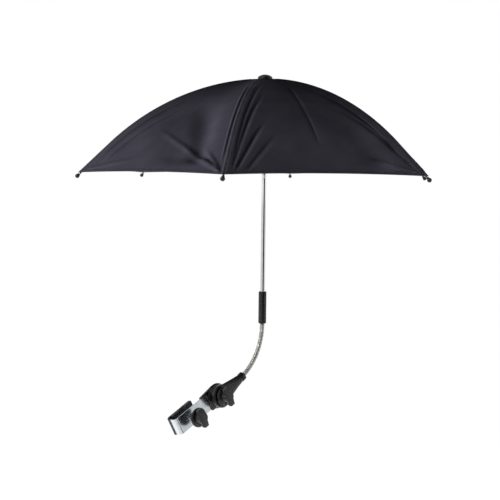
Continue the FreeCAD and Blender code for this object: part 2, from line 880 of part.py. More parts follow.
def stretcher():
    """Strut from the runner's wire to the rib's lug, stepping aside to pass the rib."""
    foot = (runner_pivot_radius, runner_pivot_height)
    head = (stretcher_joint[0], stretcher_joint[1] + crown_height)
    angle = math.degrees(math.atan2(head[1] - foot[1], head[0] - foot[0]))
    root = joined([eye_disc(foot, eye_radius, 0, rib_tang_thickness),
                   tang(foot, angle, stretcher_tang_length, 2 * stretcher_radius)])
    step = along(angle, stretcher_tang_length - stretcher_radius)
    start = FreeCAD.Vector(foot[0] + step[0], 0, foot[1] + step[1])
    stop = FreeCAD.Vector(head[0], stretcher_side_step, head[1])
    wire = Part.makeCylinder(stretcher_radius, (stop - start).Length, start, stop - start)
    eye = eye_disc(head, stretcher_eye_radius, stretcher_side_step, stretcher_eye_thickness)
    outside = stretcher_side_step + stretcher_eye_thickness / 2
    inside = rib_radius + soft_clearance
    rivet = Part.makeCylinder(rivet_radius, outside - inside, FreeCAD.Vector(head[0], inside, head[1]), y_axis)
    cap = Part.makeCylinder(rivet_head_radius, rivet_head_height, FreeCAD.Vector(head[0], outside, head[1]), y_axis)
    return joined([root.cut(eye_hole(foot)), wire, eye, rivet, cap])


def cloth_edge(lift, spread, sag, arch):
    """Long edge of a panel's skin: arc start, arc middle, arc end and hem, as radius and height."""
    middle_slope = (rib_root_slope + rib_tip_slope) / 2
    hem = rib_tip_straight - cloth_hem_setback - arch
    points = [rib_at(rib_root_slope, lift), rib_at(middle_slope, lift - sag),
              rib_at(rib_tip_slope, lift - sag), rib_end(hem, lift)]
    return [(radius * spread, height) for radius, height in points]


def cloth_section(azimuth, side, spread, sag, arch):
    """Closed end outline of a panel, standing in an upright plane beside an azimuth."""
    turn = math.radians(azimuth)
    inner = rib_radius + soft_clearance

    def place(radius, height):
        across = FreeCAD.Vector(math.cos(turn), math.sin(turn), 0) * radius
        aside = FreeCAD.Vector(-math.sin(turn), math.cos(turn), 0) * side
        return across + aside + z_axis * (height + crown_height)

    top = cloth_edge(inner + cloth_thickness, spread, sag, arch)
    under = cloth_edge(inner, spread, sag, arch)
    steps = [top[0], (top[1], top[2]), top[3], under[3], under[2], (under[1], under[0])]
    return outline(steps, place)


def cloth_panel(rib_number, side):
    """Half a gore, from beside its rib to the fold in the middle of the gore."""
    gore = full_turn / rib_count
    azimuth = first_rib_azimuth + gore * rib_number
    spread = math.cos(math.radians(gore / 2))
    beside = side * cloth_seam_gap / 2
    edge = cloth_section(azimuth, beside, 1, 0, 0)
    fold = cloth_section(azimuth + side * gore / 2, -beside, spread, cloth_crease_sag, cloth_hem_arch)
    return Part.makeLoft([edge, fold], True, True)


def top_cap():
    """Low domed cap over the cloth's top ends, with a stem in the tube."""
    under = crown_height + rib_radius + cloth_thickness + 2 * soft_clearance
    rim = under + cap_rim_height
    crest = rim + cap_dome_height
    dome_radius = (cap_radius**2 + cap_dome_height**2) / (2 * cap_dome_height)
    half_turn = math.asin(cap_radius / dome_radius) / 2
    shoulder = (dome_radius * math.sin(half_turn), crest - dome_radius * (1 - math.cos(half_turn)))
    seat = crown_height + crown_rise
    stem = shaft_radius - shaft_wall
    return turned([
        (0, seat - cap_stem_length),
        (stem, seat - cap_stem_length),
        (stem, seat),
        (cap_boss_radius, seat),
        (cap_boss_radius, under),
        (cap_radius, under),
        (cap_radius, rim),
        (shoulder, (0, crest)),
    ])


def clamp_nodes():
    """Pieces of the clamp and the swivel."""
    bracket = clamp_bracket()
    screw_bore = screw_radius
    swivel_bore = bolt_radius + running_clearance
    swivel_knob = wing_knob(swivel_knob_foot, swivel_bore)
    swivel_knob.translate(x_axis * swivel_reach)
    washer = swivel_washer()
    washer.translate(x_axis * swivel_reach)
    return {
        "clamp_bracket": on_clamp(bracket),
        "jaw_boot": on_clamp(jaw_boot(bracket)),
        "press_nut": on_clamp(press_nut()),
        "clamp_pad": on_clamp(clamp_pad()),
        "clamp_screw": on_clamp(clamp_screw()),
        "clamp_knob": on_clamp(wing_knob(clamp_knob_foot, screw_bore)),
        "swivel_base": on_clamp(swivel_base()),
        "swivel_bolt": on_clamp(swivel_bolt()),
        "swivel_washer": on_clamp(washer),
        "swivel_knob": on_clamp(swivel_knob),
        "neck_holder": on_arm(neck_holder()),
    }


def shaft_nodes():
    """Pieces of the neck, the shaft, the crown, the runner and the catch."""
    nodes = {}
    for number, piece in enumerate(neck_lengths()):
        nodes["neck_length_%d" % (number + 1)] = piece
    nodes["neck_end"] = neck_end()
    nodes["shaft_sleeve"] = on_shaft(shaft_sleeve())
    nodes["shaft_tube"] = on_shaft(shaft_tube())
    nodes["catch_pin"] = on_shaft(catch_pin())
    nodes["spring_catch"] = on_shaft(spring_catch())
    nodes["crown_hub"] = on_shaft(crown_hub())
    nodes["crown_wire"] = on_shaft(hinge_wire(rib_pivot_radius, crown_height))
    nodes["top_cap"] = on_shaft(top_cap())
    nodes["runner"] = on_shaft(runner())
    nodes["runner_wire"] = on_shaft(hinge_wire(runner_pivot_radius, runner_pivot_height))
    return nodes


def canopy_nodes():
    """Ribs, ball tips, stretchers and cloth panels, one set to each rib."""
    nodes = {}
    one_rib, one_tip, one_stretcher = rib(), rib_tip_ball(), stretcher()
    for number in range(rib_count):
        azimuth = first_rib_azimuth + full_turn * number / rib_count
        label = number + 1
        nodes["rib_%d" % label] = on_shaft(one_rib, azimuth)
        nodes["rib_tip_%d" % label] = on_shaft(one_tip, azimuth)
        nodes["stretcher_%d" % label] = on_shaft(one_stretcher, azimuth)
        nodes["cloth_panel_%d_left" % label] = on_shaft(cloth_panel(number, 1))
        nodes["cloth_panel_%d_right" % label] = on_shaft(cloth_panel(number, -1))
    return nodes


def main():
    os.makedirs("parts", exist_ok=True)
    nodes = {**clamp_nodes(), **shaft_nodes(), **canopy_nodes()}
    for name, shape in nodes.items():
        solids = shape.Solids
        if len(solids) != 1 or not shape.isValid():
            print("check", name, len(solids), shape.isValid())
        solids[0].exportStep("parts/%s.step" % name)
    print(len(nodes), "nodes, tip circle", round(2 * tip_radius, 1), "tip plane", round(tip_plane, 1))


if __name__ == "__main__":
    main()
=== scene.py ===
# %% [markdown]
# # A clamp-on pram parasol
# The metal and plastic frame comes from the CAD model. Blender adds the cloth, the finishes, the light
# and the camera. Every number here is in metres unless its name says otherwise.

# %% Load the frame
import json
import math

import bmesh
import bpy
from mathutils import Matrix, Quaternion, Vector


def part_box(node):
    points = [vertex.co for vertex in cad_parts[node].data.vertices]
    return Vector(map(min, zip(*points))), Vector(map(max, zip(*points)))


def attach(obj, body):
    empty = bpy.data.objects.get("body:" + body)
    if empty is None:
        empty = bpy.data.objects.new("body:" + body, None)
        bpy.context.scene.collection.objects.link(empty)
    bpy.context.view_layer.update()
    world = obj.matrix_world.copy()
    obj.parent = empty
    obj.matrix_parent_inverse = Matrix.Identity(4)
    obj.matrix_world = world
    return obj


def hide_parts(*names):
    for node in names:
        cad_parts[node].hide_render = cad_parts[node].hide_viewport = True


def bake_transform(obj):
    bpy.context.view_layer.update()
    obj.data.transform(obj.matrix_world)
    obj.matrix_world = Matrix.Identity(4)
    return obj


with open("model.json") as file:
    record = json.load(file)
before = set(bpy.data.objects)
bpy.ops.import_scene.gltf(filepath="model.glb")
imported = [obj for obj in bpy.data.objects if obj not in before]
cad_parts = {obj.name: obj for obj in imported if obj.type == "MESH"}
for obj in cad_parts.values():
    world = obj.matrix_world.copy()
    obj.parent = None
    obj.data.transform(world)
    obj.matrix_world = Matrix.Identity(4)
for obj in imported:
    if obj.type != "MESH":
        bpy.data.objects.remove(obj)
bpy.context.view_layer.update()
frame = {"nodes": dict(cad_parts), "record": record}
mm = 0.001

# %% [markdown]
# ## Where the canopy hangs
# Everything under the cloth turns about one upright line, the shaft. Its place is read from the tube's own
# box, and the height of the crown from the little ring of wire that the ribs hinge on. Reading them keeps
# the cloth on its ribs if the frame changes.

# %% Shaft line and crown
def middle(node):
    low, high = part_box(node)
    return (low + high) / 2


shaft = middle("shaft_tube")
crown = Vector((shaft.x, shaft.y, middle("crown_wire").z))
rib_count = 6
gore_turn = math.tau / rib_count
first_rib = math.radians(30)
print("crown at", [round(v, 4) for v in crown])

# %% [markdown]
# ## The line of a rib
# A rib leaves the crown almost level, bends down on one long arc and ends in a straight run. One function
# gives any point of it from the run along the wire, so cloth, seams and hem all follow the same curve.

# %% Rib line
rib_arc = 415 * mm
root_slope = math.radians(4.0)
tip_slope = math.radians(43.6)
pivot_radius = 8 * mm
straight_run = 71 * mm
arc_run = rib_arc * (tip_slope - root_slope)
hem_run = arc_run + straight_run
skin_lift = 2.5 * mm


def slope_at(run):
    """How steeply a rib falls at a run along it."""
    return root_slope + min(run, arc_run) / rib_arc


def rib_line(run, lift):
    """Radius from the shaft and height over the crown of a point along a rib."""
    slope = slope_at(run)
    past = max(run - arc_run, 0)
    radius = pivot_radius + rib_arc * (math.sin(slope) - math.sin(root_slope)) + lift * math.sin(slope)
    height = rib_arc * (math.cos(slope) - math.cos(root_slope)) + lift * math.cos(slope)
    return radius + past * math.cos(slope), height - past * math.sin(slope)


def rib_point(turn, run, lift):
    radius, height = rib_line(run, lift)
    return crown + Vector((radius * math.cos(turn), radius * math.sin(turn), height))


print("cloth runs", round(hem_run, 3), "m along each rib")

# %% [markdown]
# ## The shape of one gore
# Between two ribs the cloth is pulled straight across, and its own weight draws the middle in a few
# millimetres. A flat triangle would look like card. A plain function of two shares, one across the gore and
# one along it, gives a surface that is curved one way and hollow the other, like real stretched cloth.

# %% Gore surface
hem_arch = 4 * mm
hem_arch_power = 4
gore_sag = 3.5 * mm
gore_sag_power = 0.8
fold_start_share, fold_end_share, crease_end_share = 0.15, 0.5, 0.12
fold_narrow_share, fold_spread_share = 0.6, 0.7


def outward(slope, facing):
    """The direction square to the cloth where it slopes down and faces a given way."""
    return Vector((math.sin(slope) * math.cos(facing), math.sin(slope) * math.sin(facing), math.cos(slope)))


def bell(x, width):
    return math.exp(-((x / width) ** 2))


def ease(x):
    x = min(max(x, 0.0), 1.0)
    return x * x * (3 - 2 * x)


def ridge(x, y, start, stop, height, width, sharp=False):
    """Height of a fold that runs from one point of the cut cloth to another and fades at both ends."""
    dx, dy = stop[0] - start[0], stop[1] - start[1]
    length = math.hypot(dx, dy)
    share = ((x - start[0]) * dx + (y - start[1]) * dy) / length**2
    if share <= 0 or share >= 1:
        return 0.0
    aside = ((x - start[0]) * dy - (y - start[1]) * dx) / length
    if sharp:
        fade = ease(share / crease_end_share) * ease((1 - share) / crease_end_share)
        return height * fade * math.exp(-abs(aside) / width)
    fade = ease(share / fold_start_share) * ease((1 - share) / fold_end_share)
    return height * fade * bell(aside, width * (fold_narrow_share + fold_spread_share * share))


print("cloth hangs", gore_sag / mm, "mm in between the ribs, and its hem arches up", hem_arch / mm, "mm")

# %% [markdown]
# ## Folds in the cloth
# The cloth is sewn to the tips, so the pull fans out from each tip in shallow folds, slack gathers beside the
# ribs, and packing leaves pressed creases. Each fold is listed in millimetres of the cut cloth: which rib of
# the gore it is measured from, across from that rib and up from the hem for both ends, its height and width.

# %% Fold lists
def fanned_folds(gore):
    """Folds that fan out from the two tips of a gore, a little different in each gore."""
    sway = math.sin(gore * 2.4)
    lean = math.cos(gore * 1.7)
    return [
        (0, 8, 5, 74 + 12 * sway, 46 + 6 * lean, 1.6, 5),
        (0, 6, 8, 40 + 6 * lean, 104 + 14 * sway, 1.3, 5),
        (1, 8, 5, 96 + 10 * lean, 52 - 7 * sway, 1.7, 5),
        (1, 6, 8, 38 - 8 * sway, 112 + 10 * lean, 1.3, 5),
        (0, 20, 60, 14, 250 + 20 * sway, 1.2, 5),
    ]


plain_gores = (0, 1, 4, 5)
gore_folds = {gore: fanned_folds(gore) for gore in plain_gores}
gore_folds[2] = [
    (1, 4, 3, 178, 112, 2.2, 3.4),
    (1, 4, 3, 100, 54, 2.4, 3.2),
    (1, 5, 4, 62, 70, 2.0, 3.0),
    (1, 58, 14, 72, 215, -8.0, 29),
    (1, 100, 10, 112, 205, -4.5, 50),
    (1, 8, 14, 9, 300, 1.4, 2.6),
    (0, 14, 18, 34, 230, 2.0, 3.4),
    (0, 34, 14, 60, 180, 2.0, 3.6),
    (0, 8, 5, 120, 34, 1.8, 4.0),
]
gore_folds[3] = [
    (0, 10, 20, 14, 290, 1.2, 2.2),
    (0, 11, 6, 27, 220, 1.9, 2.5),
    (0, 17, 3, 46, 124, 2.2, 2.4),
    (0, 32, 4, 70, 92, 1.4, 3.0),
    (1, 20, 30, 24, 280, 2.2, 3.2),
    (1, 10, 6, 44, 180, 2.2, 3.4),
    (1, 8, 5, 96, 34, 1.8, 4.0),
    (1, 62, 2, 64, 150, 4.0, 28),
]
pressed_creases = {2: [(0, 60, 250, 130, 60, 0.3, 2.5)], 3: [(0, 58, 264, 140, 56, 1.3, 2.2)]}
for gore in plain_gores:
    pressed_creases[gore] = [(0, 50 + 6 * gore, 270, 140 + 5 * gore, 70, 0.7, 2.4)]
print(sum(len(folds) for folds in gore_folds.values()), "folds and", len(pressed_creases), "pressed creases")

# %% [markdown]
# ## A point of the cloth
# The folds are added up and laid on the smooth gore. They fade out beside the ribs, where the seam holds the
# cloth flat, and a slow ripple of slack keeps the rest from looking like a machined surface.

# %% Gore points
slack_height = 0.6 * mm
slack_radians_per_metre = 21
slack_from_hem = 40 * mm
seam_hold = 7 * mm


def fold_height(gore, across, width, run):
    """How far the folds stand off the smooth surface at one point of a gore."""
    up = hem_run - run
    total = 0.0
    for folds, sharp in ((gore_folds[gore], False), (pressed_creases[gore], True)):
        for rib, x0, y0, x1, y1, height, spread in folds:
            aside = across if rib == 0 else width - across
            total += ridge(aside / mm, up / mm, (x0, y0), (x1, y1), height * mm, spread, sharp)
    slack = math.sin(run * slack_radians_per_metre + gore) * math.sin(math.pi * across / max(width, mm))
    total += slack_height * slack * ease(up / slack_from_hem)
    from_rib = min(across, width - across)
    return total * ease(from_rib / seam_hold)


def gore_point(gore, share, run):
    """A point of a gore's outer face, by its share across from the first rib and the run from the crown."""
    belly = 4 * share * (1 - share)
    reach = run - hem_arch * belly * (run / hem_run) ** hem_arch_power
    first = rib_point(first_rib + gore_turn * gore, reach, skin_lift)
    second = rib_point(first_rib + gore_turn * (gore + 1), reach, skin_lift)
    facing = first_rib + gore_turn * (gore + 0.5)
    width = (second - first).length
    sag = gore_sag * belly * math.sin(math.pi * min(run / hem_run, 1) ** gore_sag_power)
    lift = fold_height(gore, share * width, width, run) - sag
    return first.lerp(second, share) + outward(slope_at(reach), facing) * lift


print("gore width at the hem", round((gore_point(0, 1, hem_run) - gore_point(0, 0, hem_run)).length, 3), "m")

# %% [markdown]
# ## Half gores
# When the parasol closes, each gore folds along its middle. A half gore therefore runs from a rib to that
# fold.
# Neighbouring halves share the very same edge points, so open they read as one sheet.
# The rows crowd at the hem, where the cloth is turned under and stitched.

# %% Rows and columns
hem_fold = 8 * mm
hem_stitch_line = 6.5 * mm
row_count = 96
hem_steps = [8.6, 8, 6.9, 6.5, 6.1, 3, 0.6, 0]
row_runs = [hem_run * (i / row_count) for i in range(row_count - 2)] + [hem_run - up * mm for up in hem_steps]
seam_steps = [0, 0.8 * mm, 1.2 * mm, 3.6 * mm, 4.0 * mm]
column_count = 54
column_crowding = 1.5
narrow_half = 12 * mm
narrow_seam_share = 0.4
hem_rise, hem_groove, hem_groove_width = 0.5 * mm, 0.4 * mm, 0.6 * mm
seam_rise, seam_width, seam_edge = 0.45 * mm, 3.6 * mm, 0.5 * mm
seam_groove, seam_groove_place, seam_groove_width = 0.3 * mm, 1.0 * mm, 0.4 * mm


def hem_relief(run):
    """The turned hem stands a little proud, with a groove where the stitches pull it in."""
    up = hem_run - run
    if up > hem_fold:
        return 0.0
    return hem_rise - hem_groove * bell(up - hem_stitch_line, hem_groove_width)


def seam_relief(aside):
    """The seam allowance over a rib is a flat ridge with a groove beside the wire."""
    flat = seam_rise * (1 - ease((aside - seam_width) / seam_edge))
    return flat - seam_groove * bell(aside - seam_groove_place, seam_groove_width)


def column_places(half):
    """Distances from the rib across a half gore, close together at the seam and wider towards the fold."""
    seam = seam_steps
    if half < narrow_half:
        seam = [half * narrow_seam_share * i / (len(seam_steps) - 1) for i in range(len(seam_steps))]
    rest = half - seam[-1]
    return seam + [seam[-1] + rest * ((i + 1) / column_count) ** column_crowding for i in range(column_count)]


def half_gore_grid(rib, side):
    """Rows of points from the rib edge to the fold, with the cut-cloth place of each."""
    gore = rib if side > 0 else (rib - 1) % rib_count
    grid, places = [], []
    for run in row_runs:
        radius, _ = rib_line(run, skin_lift)
        half = radius / 2
        row, place = [], []
        for aside in column_places(half):
            share = aside / (2 * half)
            point = gore_point(gore, share if side > 0 else 1 - share, run)
            facing = first_rib + gore_turn * (rib + side * share)
            relief = max(hem_relief(run), seam_relief(aside) if half >= narrow_half else 0)
            row.append(point + outward(slope_at(run), facing) * relief)
            place.append((aside, hem_run - run))
        grid.append(row)
        places.append(place)
    return grid, places


print(len(row_runs), "rows of", column_count + len(seam_steps), "points in a half gore")

# %% [markdown]
# ## Turning a grid into a sheet
# The grid becomes faces, and the cut-cloth places become the UV map, in metres, so that weave and stitches
# come out at their real size. A Solidify modifier gives the sheet its thickness inwards only, which leaves
# the outer faces of two neighbours meeting edge to edge.

# %% Sheet from a grid
cloth_thickness = 0.5 * mm


def show(name, data):
    """Put a new object into the scene."""
    thing = bpy.data.objects.new(name, data)
    bpy.context.scene.collection.objects.link(thing)
    return thing


def sheet_from_grid(name, grid, places, flip):
    rows, columns = len(grid), len(grid[0])
    points = [point for row in grid for point in row]
    spots = [spot for row in places for spot in row]
    faces = []
    for i in range(rows - 1):
        for j in range(columns - 1):
            a = i * columns + j
            loop = [a, a + columns, a + columns + 1, a + 1]
            faces.append(loop if flip else loop[::-1])
    mesh = bpy.data.meshes.new(name)
    mesh.from_pydata(points, [], faces)
    cut = mesh.uv_layers.new(name="cut_cloth")
    for loop in mesh.loops:
        cut.data[loop.index].uv = spots[loop.vertex_index]
    mesh.polygons.foreach_set("use_smooth", [True] * len(mesh.polygons))
    for edge in mesh.edges:
        (row_a, column_a), (row_b, column_b) = (divmod(corner, columns) for corner in edge.vertices)
        on_side = column_a == column_b and column_a in (0, columns - 1)
        on_end = row_a == row_b and row_a in (0, rows - 1)
        edge.use_edge_sharp = on_side or on_end
    piece = show(name, mesh)
    thick = piece.modifiers.new("cloth thickness", "SOLIDIFY")
    thick.thickness = cloth_thickness
    thick.offset = -1
    return piece


print("cloth is", cloth_thickness / mm, "mm thick")

# %% [markdown]
# ## The canopy
# Each rib has a half gore on either side of it. Every sheet is baked into place, and the CAD cloth panel that
# it stands for is hidden.

# %% Build the canopy
canopy = []
cloth_area = 0.0
for rib in range(rib_count):
    for side, label in ((1, "left"), (-1, "right")):
        grid, places = half_gore_grid(rib, side)
        piece = sheet_from_grid(f"cloth_{rib + 1}_{label}", grid, places, side < 0)
        area = sum(face.area for face in piece.data.polygons)
        cloth_area += area
        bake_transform(piece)
        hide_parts(f"cloth_panel_{rib + 1}_{label}")
        canopy.append(piece)
print(len(canopy), "half gores,", round(cloth_area, 3), "m2 of cloth")

# %% [markdown]
# ## Rubber that grips
# The boot over the hooked end of the strip and the pad on the screw are soft rubber. The CAD solids have
# sharp edges, which rubber never has. Each is copied, remeshed into small even faces and smoothed until its
# edges are round. Where the rubber meets the pram's tube it gets shallow grip grooves, cut away from the
# tube.

# %% Soft copies
tube_axis = Vector(frame["record"]["mounts"][0]["axis"])
tube_radius = frame["record"]["mounts"][0]["dims"]["r_mm"] * mm
joint_rows = {row["name"]: row for row in frame["record"]["behaviour"]["joints"]}
knob_side = -Vector(joint_rows["pad_slide"]["axis"])
groove_pitch = 2.4 * mm
groove_depth = 0.45 * mm
groove_facing = 0.5
groove_fade = 0.3
weld_distance = 0.001 * mm
rubber_voxel = 0.55 * mm
rounding_passes = 3


def solid_of(node):
    """The solid of a CAD node as an editable mesh with its seams welded."""
    solid = bmesh.new()
    solid.from_mesh(frame["nodes"][node].data)
    bmesh.ops.remove_doubles(solid, verts=solid.verts, dist=weld_distance)
    return solid


def soft_piece(name, solid):
    """Even, small faces and rounded edges for a rubber piece."""
    mesh = bpy.data.meshes.new(name)
    solid.to_mesh(mesh)
    solid.free()
    piece = show(name, mesh)
    remesh = piece.modifiers.new("even faces", "REMESH")
    remesh.mode = "VOXEL"
    remesh.voxel_size = rubber_voxel
    smooth = piece.modifiers.new("rounded edges", "SMOOTH")
    smooth.factor = 0.5
    smooth.iterations = rounding_passes
    shaped = bpy.data.meshes.new_from_object(piece.evaluated_get(bpy.context.evaluated_depsgraph_get()))
    piece.modifiers.clear()
    piece.data = shaped
    shaped.name = name
    shaped.polygons.foreach_set("use_smooth", [True] * len(shaped.polygons))
    return piece


def cut_grip_grooves(piece, reach):
    """Press grooves round the tube into the faces that stand within reach of it."""
    moved = 0
    for vertex in piece.data.vertices:
        along = vertex.co.dot(tube_axis)
        out = vertex.co - tube_axis * along
        facing = -vertex.normal.dot(out.normalized())
        if out.length < reach and facing > groove_facing:
            wave = 0.5 + 0.5 * math.cos(math.tau * along / groove_pitch)
            fade = ease((facing - groove_facing) / groove_fade)
            vertex.co -= vertex.normal * groove_depth * wave**3 * fade
            moved += 1
    return moved


print("grip grooves every", round(groove_pitch / mm, 2), "mm")

# %% [markdown]
# ## Boot and pad
# The boot is pulled over the hook like a sock: its mouth reaches round the bend and covers the rear edge of
# the strip's end. The sock is the strip's own solid, cut off in front of the bend and swollen a little, and
# the remesh joins it to the boot.

# %% Boot and pad
sock_mouth = -1 * mm
sock_wall = 0.9 * mm
boot_reach_share, pad_reach_share = 1.25, 2.2
sock = solid_of("clamp_bracket")
whole_strip = sock.verts[:] + sock.edges[:] + sock.faces[:]
cut_strip = bmesh.ops.bisect_plane(sock, geom=whole_strip, plane_co=knob_side * sock_mouth,
                                   plane_no=knob_side, clear_outer=True)
open_edges = [part for part in cut_strip["geom_cut"] if isinstance(part, bmesh.types.BMEdge)]
bmesh.ops.triangle_fill(sock, use_beauty=True, edges=open_edges)
bmesh.ops.recalc_face_normals(sock, faces=sock.faces)
sock.normal_update()
swollen = [vertex.co + vertex.normal * sock_wall for vertex in sock.verts]
for vertex, place in zip(sock.verts, swollen):
    vertex.co = place
sock_mesh = bpy.data.meshes.new("sock")
sock.to_mesh(sock_mesh)
sock.free()
boot_solid = solid_of("jaw_boot")
boot_solid.from_mesh(sock_mesh)
bpy.data.meshes.remove(sock_mesh)
soft_pieces = []
for node, body, solid, reach_share in (("jaw_boot", "clamp", boot_solid, boot_reach_share),
                                       ("clamp_pad", "clamp_pad", solid_of("clamp_pad"), pad_reach_share)):
    piece = soft_piece(f"soft_{node}", solid)
    grooved = cut_grip_grooves(piece, tube_radius * reach_share)
    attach(piece, body)
    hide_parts(node)
    soft_pieces.append(piece)
    print(piece.name, len(piece.data.polygons), "faces,", grooved, "points in the grooves")

# %% [markdown]
# ## A helper for node trees
# Finishes, floor and world are all small node trees. This helper adds a node with its inputs and settings in
# one line, and the Finish below it adds what every finish needs: a colour ramp and a bump.

# %% Node helpers
class Nodes:
    def __init__(self, tree):
        self.tree = tree

    def add(self, kind, inputs=None, **settings):
        node = self.tree.nodes.new(kind)
        for key, value in settings.items():
            setattr(node, key, value)
        for key, value in (inputs or {}).items():
            self.feed(node.inputs[key], value)
        return node

    def feed(self, socket, value):
        if isinstance(value, bpy.types.NodeSocket):
            self.tree.links.new(value, socket)
        else:
            socket.default_value = value

    def math(self, operation, first, second=0.0):
        return self.add("ShaderNodeMath", {0: first, 1: second}, operation=operation).outputs[0]

    def between(self, value, start, stop, low, high):
        """Carry a value from one range to another, held at both ends."""
        return self.add("ShaderNodeMapRange", {0: value, 1: start, 2: stop, 3: low, 4: high}).outputs[0]


class Finish(Nodes):
    def __init__(self, name):
        self.material = bpy.data.materials.new(name)
        self.material.use_nodes = True
        super().__init__(self.material.node_tree)
        self.shader = self.tree.nodes["Principled BSDF"]

    def put(self, **values):
        for name, value in values.items():
            self.feed(self.shader.inputs[name.replace("_", " ")], value)

    def place(self, stretch=(1, 1, 1)):
        spot = self.add("ShaderNodeTexCoord").outputs["Object"]
        return self.add("ShaderNodeMapping", {"Vector": spot, "Scale": stretch}).outputs["Vector"]

    def noise(self, where, scale, detail=2.0):
        inputs = {"Vector": where, "Scale": scale, "Detail": detail}
        return self.add("ShaderNodeTexNoise", inputs).outputs["Fac"]

    def ramp(self, source, low, dark, high, light):
        node = self.add("ShaderNodeValToRGB", {"Fac": source})
        for stop, place, colour in zip(node.color_ramp.elements, (low, high), (dark, light)):
            stop.position = place
            stop.color = (*colour, 1)
        return node.outputs["Color"]

    def bump(self, height, strength, distance, base=None):
        inputs = {"Height": height, "Strength": strength, "Distance": distance}
        if base is not None:
            inputs["Normal"] = base
        return self.add("ShaderNodeBump", inputs).outputs["Normal"]


def dress(finish, *names):
    """Give CAD nodes a finish through their material slots."""
    for name in names:
        node = frame["nodes"][name]
        node.data.materials.clear()
        node.data.materials.append(finish.material)


# %% [markdown]
# ## Canopy cloth
# The cloth is a thin, closely woven black polyester. Its weave is far smaller than a pixel, so from a
# distance only a soft, slightly uneven black shows. Up close the crossed threads, a slub along them and the
# lines of stitches beside the ribs and along the hem appear, all laid out in metres of the cut cloth.

# %% Cloth finish
cloth = Finish("canopy cloth")
cut = cloth.add("ShaderNodeUVMap", uv_map="cut_cloth").outputs["UV"]
split = cloth.add("ShaderNodeSeparateXYZ", {0: cut})
aside, up = split.outputs["X"], split.outputs["Y"]
wave_inputs = {"Vector": cut, "Scale": 500.0, "Distortion": 0.6}
thread_waves = [cloth.add("ShaderNodeTexWave", wave_inputs, bands_direction=way) for way in ("X", "Y")]
weave = cloth.math("MULTIPLY", thread_waves[0].outputs["Fac"], thread_waves[1].outputs["Fac"])
slub_way = cloth.add("ShaderNodeMapping", {"Vector": cut, "Scale": (900, 60, 1)}).outputs["Vector"]
slub = cloth.noise(slub_way, 1.0)
dye = cloth.noise(cut, 26.0, 5.0)
black = cloth.ramp(dye, 0.3, (0.036, 0.0348, 0.0460), 0.72, (0.047, 0.0454, 0.0598))
thread_colour = (0.075, 0.073, 0.082, 1)
rib_stitch_line = 2.4 * mm
stitch_pitch = 3 * mm
stitch_share = 0.78
stitch_core, stitch_edge = 0.15 * mm, 0.35 * mm


def stitch_row(across, place, along):
    """A row of short stitches at one distance from an edge."""
    off_line = cloth.math("ABSOLUTE", cloth.math("SUBTRACT", across, place))
    line = cloth.between(off_line, stitch_core, stitch_edge, 1.0, 0.0)
    step = cloth.math("FRACT", cloth.math("DIVIDE", along, stitch_pitch))
    dash = cloth.math("LESS_THAN", step, stitch_share)
    return cloth.math("MULTIPLY", line, dash)


rib_stitches = stitch_row(aside, rib_stitch_line, up)
stitches = cloth.math("MAXIMUM", rib_stitches, stitch_row(up, hem_stitch_line, aside))
thread = cloth.add("ShaderNodeMix", {0: stitches, 6: black, 7: thread_colour}, data_type="RGBA")
cloth.put(Base_Color=thread.outputs[2], Roughness=cloth.between(slub, 0.0, 1.0, 0.55, 0.68),
          Specular_IOR_Level=0.0, Sheen_Weight=0.01, Sheen_Roughness=0.5, Sheen_Tint=(0.7, 0.66, 0.8, 1))
threads = cloth.bump(weave, 0.25, 0.1 * mm, cloth.bump(slub, 0.12, 0.2 * mm))
cloth.put(Normal=cloth.bump(stitches, 0.4, 0.2 * mm, threads))
for piece in canopy:
    piece.data.materials.append(cloth.material)
print("cloth finish on", len(canopy), "pieces")

# %% [markdown]
# ## Moulded black plastic
# Knobs, swivel, holder, sleeve, hub, cap, runner and tips are moulded in the same black nylon. The fine
# spark grain of the mould breaks up the gloss, and a cloudy change of roughness keeps large faces from
# looking painted.

# %% Plastic finish
plastic = Finish("moulded black plastic")
grain = plastic.noise(plastic.place(), 1500.0)
cloud = plastic.noise(plastic.place(), 70.0, 4.0)
plastic.put(Base_Color=plastic.ramp(cloud, 0.35, (0.005, 0.005, 0.0058), 0.7, (0.009, 0.009, 0.0104)),
            Roughness=plastic.between(cloud, 0.3, 0.7, 0.26, 0.36),
            Normal=plastic.bump(grain, 0.08, 0.1 * mm), Specular_IOR_Level=0.4)
plastic_nodes = ["clamp_knob", "swivel_base", "swivel_knob", "neck_holder", "shaft_sleeve"]
plastic_nodes += ["crown_hub", "top_cap", "runner"] + [f"rib_tip_{i + 1}" for i in range(rib_count)]
dress(plastic, *plastic_nodes)
print("plastic on", len(plastic_nodes), "nodes")

# %% [markdown]
# ## Rubber
# Rubber is duller than the plastic and shows a dusty bloom, which is a lighter, rougher cloud at a fine
# scale.

# %% Rubber finish
rubber = Finish("black rubber")
bloom = rubber.noise(rubber.place(), 240.0, 6.0)
rubber.put(Base_Color=rubber.ramp(bloom, 0.35, (0.014, 0.014, 0.0152), 0.75, (0.03, 0.03, 0.0322)),
           Roughness=rubber.between(bloom, 0.3, 0.7, 0.52, 0.7), Normal=rubber.bump(bloom, 0.15, 0.2 * mm))
for piece in soft_pieces:
    piece.data.materials.clear()
    piece.data.materials.append(rubber.material)
print("rubber on", len(soft_pieces), "pieces")

# %% [markdown]
# ## Metals
# Four metals show: the bright zinc on the bent strip, the chrome tube, the satin neck and the dark steel
# wires. They differ in colour, in how rough they are and in the way that their fine lines run.

